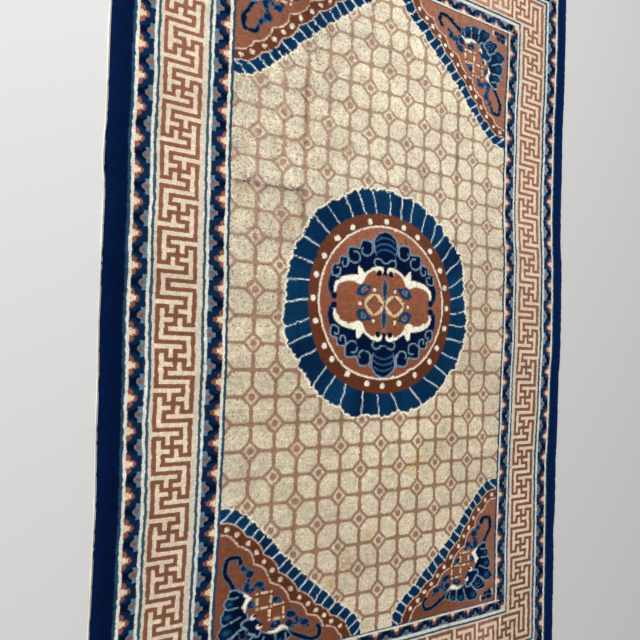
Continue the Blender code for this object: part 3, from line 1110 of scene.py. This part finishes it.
def new_mesh(name, points, faces, corner_colours):
    """A mesh object with a colour for each face corner and texture places seen from above."""
    mesh = bpy.data.meshes.new(name)
    mesh.from_pydata(points.tolist(), [], faces)
    corners = np.zeros(len(mesh.loops), np.int32)
    mesh.loops.foreach_get("vertex_index", corners)
    shades = np.ones((len(corners), 4), np.float32)
    shades[:, :3] = corner_colours if len(corner_colours) == len(corners) else corner_colours[corners]
    layer = mesh.color_attributes.new("wool_colour", "FLOAT_COLOR", "CORNER")
    layer.data.foreach_set("color", shades.ravel())
    low = points[:, :2].min(axis=0)
    high = points[:, :2].max(axis=0)
    places = (points[corners, :2] - low) / (high - low)
    places = 0.004 + 0.992 * places
    layer = mesh.uv_layers.new(name="OFBake")
    layer.data.foreach_set("uv", places.astype(np.float32).ravel())
    made = bpy.data.objects.new(name, mesh)
    bpy.context.collection.objects.link(made)
    return made


def grid_faces(height, width):
    """Faces between the points of a grid that is numbered row by row."""
    start = (np.arange(height - 1)[:, None] * width + np.arange(width - 1)[None, :]).ravel()
    return np.stack([start, start + 1, start + width + 1, start + width], axis=1)


def border_ring(height, width):
    """Numbers of a grid's outer points, one after the other round it."""
    grid = np.arange(height * width).reshape(height, width)
    ring = [grid[0], grid[1:, -1], grid[-1, -2::-1], grid[-2:0:-1, 0]]
    return np.concatenate(ring).tolist()


def between(first, second):
    """Faces between two rings of points, given by their numbers."""
    return list(zip(first, first[1:] + first[:1], second[1:] + second[:1], second))


def smooth(piece, degrees):
    """Smooth shading, apart from edges sharper than this."""
    piece.data.shade_smooth()
    piece.data.set_sharp_from_angle(angle=math.radians(degrees))


# Points closer to the edge than this, in squares, belong to it
NEAR_EDGE = 0.2


def inset_of(x, y):
    """How far places of the even design lie from the rug's edge, in metres."""
    to_ends = np.minimum(REACH_UPPER - y, y + REACH_LOWER)
    return SQUARE * np.minimum(REACH_SIDE - np.abs(x), to_ends)


def at_inset(x, y, inset, pull=0.0):
    """Points near the edge, moved to this inset from it, with the sides pulled in further."""
    side = REACH_SIDE - (inset + pull) / SQUARE
    upper, lower = REACH_UPPER - inset / SQUARE, inset / SQUARE - REACH_LOWER
    new_x = np.where(np.abs(x) > REACH_SIDE - NEAR_EDGE, np.sign(x) * side, x)
    new_y = np.where(y > REACH_UPPER - NEAR_EDGE, upper, y)
    return new_x, np.where(y < NEAR_EDGE - REACH_LOWER, lower, new_y)


PILE_EDGE = (
    # inset, height of the pile's top
    (0.0002, 0.0084),
    (0.0035, 0.0094),
    (0.0075, 0.01),
)
SELVAGE = 0.0018 / SQUARE
PILE_BOTTOM = 0.0031
FOOT_INSET = 0.0022
TUFTS, TUFTS_WIDE = 0.00034, 0.00035


def pile_height(x, y):
    inset = inset_of(x, y)
    random = np.random.default_rng(29)
    tufts = random.normal(0.0, TUFTS, x.shape)
    ragged = TUFTS_WIDE * noise(x, y, 0.35, 17, 2)
    return np.interp(inset, *zip(*PILE_EDGE)) + unevenness(x, y, inset) + tufts + ragged


def pile_foot(ring, x, y):
    """The points where the pile's outer side meets the ground, below its top's ring."""
    foot_x, foot_y = at_inset(x, y, FOOT_INSET)
    moved = (foot_x != x) | (foot_y != y)
    low = ring.copy()
    low[moved, :2] = np.stack(to_metres(foot_x, foot_y), axis=1)[moved]
    low[:, 2] = PILE_BOTTOM
    return low


def softened(colours):
    """Colours for each knot's four corners: its own, with a little of its neighbours'."""
    spread = np.pad(colours, ((1, 1), (1, 1), (0, 0)), mode="edge")
    crossings = (spread[:-1, :-1] + spread[1:, :-1] + spread[:-1, 1:] + spread[1:, 1:]) / 4.0
    around = [crossings[:-1, :-1], crossings[:-1, 1:], crossings[1:, 1:], crossings[1:, :-1]]
    return (1.0 - KNOT_BLEND) * colours[:, :, None, :] + KNOT_BLEND * np.stack(around, axis=2)


def make_pile(colours):
    """The pile in four pieces that meet along the rug's middle lines, with a face a knot."""
    row_lines, column_lines = (np.arange(-half, half + 2) - 0.5 for half in (HALF_ROWS, HALF_COLUMNS))
    rows, columns = np.meshgrid(row_lines, column_lines, indexing="ij")
    x, y = columns / KNOTS_ACROSS, row_place(rows)
    random = np.random.default_rng(23)
    jitter_x = random.normal(0.0, 0.006, x.shape)
    jitter_y = random.normal(0.0, 0.005, x.shape)
    wander = 0.016 * noise(x, y, 1.6, 31, 2) + 0.014 * noise(x, y, 0.14, 33, 1)
    even_x = np.where(np.abs(columns) > HALF_COLUMNS, np.sign(x) * (REACH_SIDE - SELVAGE), x)
    places = to_metres(even_x + jitter_x + wander, y + jitter_y)
    tops = np.stack([*places, pile_height(x, y)], axis=2)
    corner_colours = softened(colours)
    made = []
    halves = (("lower", 0, HALF_ROWS + 1), ("upper", HALF_ROWS + 1, 2 * HALF_ROWS + 1))
    sides = (("left", 0, HALF_COLUMNS + 1), ("right", HALF_COLUMNS + 1, 2 * HALF_COLUMNS + 1))
    for (half, row, last_row), (side, column, last_column) in itertools.product(halves, sides):
        here = (slice(row, last_row + 1), slice(column, last_column + 1))
        shades = corner_colours[row:last_row, column:last_column].reshape(-1, 3)
        top = tops[here].reshape(-1, 3)
        ring = border_ring(*x[here].shape)
        low = pile_foot(top[ring], x[here].ravel()[ring], y[here].ravel()[ring])
        foot = list(range(len(top), len(top) + len(ring)))
        faces = grid_faces(*x[here].shape).tolist() + between(foot, ring) + [foot[::-1]]

        # The sides have four corners a point of the ring, and the bottom has one
        hidden = np.tile(COLOURS["navy"], (5 * len(ring), 1))
        name = "pile_" + half + "_" + side
        piece = new_mesh(name, np.concatenate([top, low]), faces, np.concatenate([shades, hidden]))
        smooth(piece, 70.0)
        made.append(piece)
    return made


# The ground

# The back has a point for every second knot, and its every second row is a ridge
BACK_STEP = 2
GROUND_SECTION = (
    # inset, height
    (0.001, 0.0000),
    (0.0002, 0.0014),
    (0.0012, 0.003),
)
SIDE_PULL = 0.0016
BACK_RIDGE = 0.00035


def make_ground(colours):
    """The woven ground, whose back shows the knots' loops between the wefts."""
    row_span, column_span = (slice(-half, half + 1, BACK_STEP) for half in (HALF_ROWS, HALF_COLUMNS))
    rows, columns = np.mgrid[row_span, column_span]
    x, y = columns / KNOTS_ACROSS, row_place(rows)
    ridge = BACK_RIDGE * (0.5 + 0.5 * noise(x, y, 0.12, 37, 1))
    ridge = np.clip(ridge, 0.0, None) * ((rows // BACK_STEP) % 2)
    back = np.stack([*to_metres(x, y), ridge], axis=2).reshape(-1, 3)
    shades = colours[::BACK_STEP, ::BACK_STEP].reshape(-1, 3)
    points = [back]
    tints = [0.8 * shades + 0.2 * COLOURS["cotton"]]
    inner = ring = border_ring(*x.shape)
    faces = grid_faces(*x.shape)[:, ::-1].tolist()
    for step, (inset, level) in enumerate(GROUND_SECTION):
        places = to_metres(*at_inset(x.ravel()[ring], y.ravel()[ring], inset, SIDE_PULL))
        points.append(np.stack([*places, np.full(len(ring), level)], axis=1))
        tints.append(np.tile(COLOURS["cotton"], (len(ring), 1)))
        start = len(back) + step * len(ring)
        outer = list(range(start, start + len(ring)))
        faces += between(inner, outer)
        inner = outer
    faces.append(inner)
    ground = new_mesh("woven_ground", np.concatenate(points), faces, np.concatenate(tints))
    smooth(ground, 60.0)
    return ground


CORD_RADIUS = 0.0024
CORD_OUT = 0.004
CORD_SIDES = 10
CORD_STEPS = 1400
CORD_MARGIN = 0.0012


def make_cord(name, side):
    """The cord along one long side: warps overcast with pale wool."""
    random = np.random.default_rng(41 if side < 0 else 43)
    margin = CORD_MARGIN / SQUARE
    y = np.linspace(-REACH_LOWER + margin, REACH_UPPER - margin, CORD_STEPS)
    x = np.full_like(y, side * (REACH_SIDE + (CORD_OUT - CORD_RADIUS) / SQUARE))
    place_x, place_y = to_metres(x, y)
    wrap = np.sin(np.arange(CORD_STEPS) * 2.0 * math.pi / 3.0 + random.normal(0.0, 0.5, CORD_STEPS))
    radius = CORD_RADIUS * (0.86 + 0.07 * wrap + random.normal(0.0, 0.02, CORD_STEPS))
    radius = radius * (1.0 + 0.2 * noise(y, y * 0.0, 0.45, 45, 3))
    radius = np.minimum(radius, CORD_RADIUS)[:, None]
    turns = np.linspace(0.0, 2.0 * math.pi, CORD_SIDES, endpoint=False)
    points = np.zeros((CORD_STEPS, CORD_SIDES, 3))
    points[..., 0] = place_x[:, None] + radius * np.cos(turns)
    points[..., 1] = place_y[:, None]
    points[..., 2] = CORD_RADIUS + radius * np.sin(turns)
    rings = np.arange(CORD_STEPS * CORD_SIDES).reshape(CORD_STEPS, CORD_SIDES).tolist()
    faces = [face for here, there in zip(rings, rings[1:]) for face in between(there, here)]
    faces += [rings[0], rings[-1][::-1]]
    patches = 1.0 + 0.1 * noise(place_y, place_y * 0.0, 0.05, 47, 2)
    shades = np.repeat(COLOURS["cotton"] * patches[:, None], CORD_SIDES, axis=0)
    cord = new_mesh(name, points.reshape(-1, 3), faces, shades)
    cord.data.shade_smooth()
    return cord


# Materials


def textile(name, grain, bump, contrast, specks):
    """Wool or cotton: the knots' colours, broken up by fibres finer than a knot."""
    material = bpy.data.materials.new(name)
    material.use_nodes = True
    nodes = material.node_tree.nodes
    links = material.node_tree.links
    shader = nodes["Principled BSDF"]
    shader.inputs["Roughness"].default_value = 0.97
    shader.inputs["Specular IOR Level"].default_value = 0.04

    def add(kind, output, values, sources, operation=None):
        """The output of a new node with these values, whose other inputs are linked."""
        node = nodes.new("ShaderNode" + kind)
        if operation:
            node.operation = operation
        for socket, value in values.items():
            node.inputs[socket].default_value = value
        for socket, source in sources.items():
            links.new(source, node.inputs[socket])
        return node.outputs[output]

    def speckle(scale, detail):
        values = {"Scale": scale, "Detail": detail, "Roughness": 0.65}
        return add("TexNoise", "Fac", values, {"Vector": place})

    def mapped(source, low, high, to_low, to_high):
        values = {"From Min": low, "From Max": high, "To Min": to_low, "To Max": to_high}
        return add("MapRange", "Result", values, {"Value": source})

    colour = nodes.new("ShaderNodeAttribute")
    colour.attribute_name = "wool_colour"
    place = add("TexCoord", "Object", {}, {})
    fibres = speckle(grain, 3.0)
    light_and_dark = mapped(fibres, 0.28, 0.72, 1.0 - contrast, 1.0 + contrast)
    dark_fibres = mapped(speckle(grain * 0.9 + 11.0, 1.0), 0.3, 0.37, 1.0 - specks, 1.0)
    shade = add("Math", "Value", {}, {0: light_and_dark, 1: dark_fibres}, "MULTIPLY")
    shaded = add("VectorMath", "Vector", {}, {0: colour.outputs["Color"], "Scale": shade}, "SCALE")
    links.new(shaded, shader.inputs["Base Color"])
    relief = add("Bump", "Normal", {"Strength": bump, "Distance": 0.001}, {"Height": fibres})
    links.new(relief, shader.inputs["Normal"])
    return material


def plain(name, colour, roughness):
    material = bpy.data.materials.new(name)
    material.use_nodes = True
    shader = material.node_tree.nodes["Principled BSDF"]
    shader.inputs["Base Color"].default_value = (*colour, 1.0)
    shader.inputs["Roughness"].default_value = roughness
    return material


# The studio

# Where the camera stands, in squares from the pattern's middle, and its turns in degrees
CAMERA_AT = (-14.955, -2.184, 20.143)
CAMERA_TURNS = (2.0747, -30.4738, 2.0638)
FOCAL_PIXELS = 588.6
FRAME_PIXELS = 640.0
SENSOR = 36.0
FLOOR_SIZE, FLOOR_HEIGHT, FLOOR_COLOUR = 14.0, -0.0004, (0.62, 0.62, 0.61)
SURROUND = 0.5
LIGHTS = (
    # name, place, size, power
    ("key", (-1.5, 2.7, 2.8), 2.5, 131.0),
    ("fill", (-3.0, -1.0, 3.0), 3.0, 31.0),
)


def set_camera():
    data = bpy.data.cameras.new("camera")
    data.sensor_width = SENSOR
    data.lens = FOCAL_PIXELS / FRAME_PIXELS * SENSOR
    data.clip_start = 0.01
    camera = bpy.data.objects.new("camera", data)
    camera.location = (
        (CAMERA_AT[0] + SHIFT_X) * SQUARE,
        (CAMERA_AT[1] + SHIFT_Y) * SQUARE,
        CAMERA_AT[2] * SQUARE + PILE_TOP,
    )
    camera.rotation_euler = [math.radians(turn) for turn in CAMERA_TURNS]
    bpy.context.collection.objects.link(camera)
    bpy.context.scene.camera = camera


def set_floor():
    bpy.ops.mesh.primitive_plane_add(size=FLOOR_SIZE, location=(0.0, 0.0, FLOOR_HEIGHT))
    floor = bpy.context.active_object
    floor.name = "floor"
    floor.data.materials.append(plain("floor_paint", FLOOR_COLOUR, 0.8))


def add_light(name, at, size, power):
    """A square light that shines at the rug's middle."""
    data = bpy.data.lights.new(name, "AREA")
    data.size = size
    data.energy = power
    light = bpy.data.objects.new(name, data)
    light.location = at
    light.rotation_euler = (-mathutils.Vector(at)).to_track_quat("-Z", "Y").to_euler()
    bpy.context.collection.objects.link(light)


def set_light():
    world = bpy.data.worlds.new("studio")
    world.use_nodes = True
    world.node_tree.nodes["Background"].inputs["Color"].default_value = (1.0, 1.0, 1.0, 1.0)
    world.node_tree.nodes["Background"].inputs["Strength"].default_value = SURROUND
    bpy.context.scene.world = world
    for light in LIGHTS:
        add_light(*light)
    bpy.context.scene.view_settings.view_transform = "Standard"
    bpy.context.scene.view_settings.look = "None"


def build():
    colours = knot_colours()
    wool = textile("wool_pile", grain=760.0, bump=0.6, contrast=0.4, specks=0.45)
    cotton = textile("woven_cotton", grain=900.0, bump=0.4, contrast=0.15, specks=0.1)
    pile = make_pile(colours)
    ground = make_ground(colours)
    cords = [make_cord("left_cord", -1.0), make_cord("right_cord", 1.0)]
    for piece in pile:
        piece.data.materials.append(wool)
    for piece in [ground] + cords:
        piece.data.materials.append(cotton)
    for piece in pile + [ground] + cords:
        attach(piece, "root")
        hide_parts("rug")


set_camera()
set_floor()
set_light()
build()
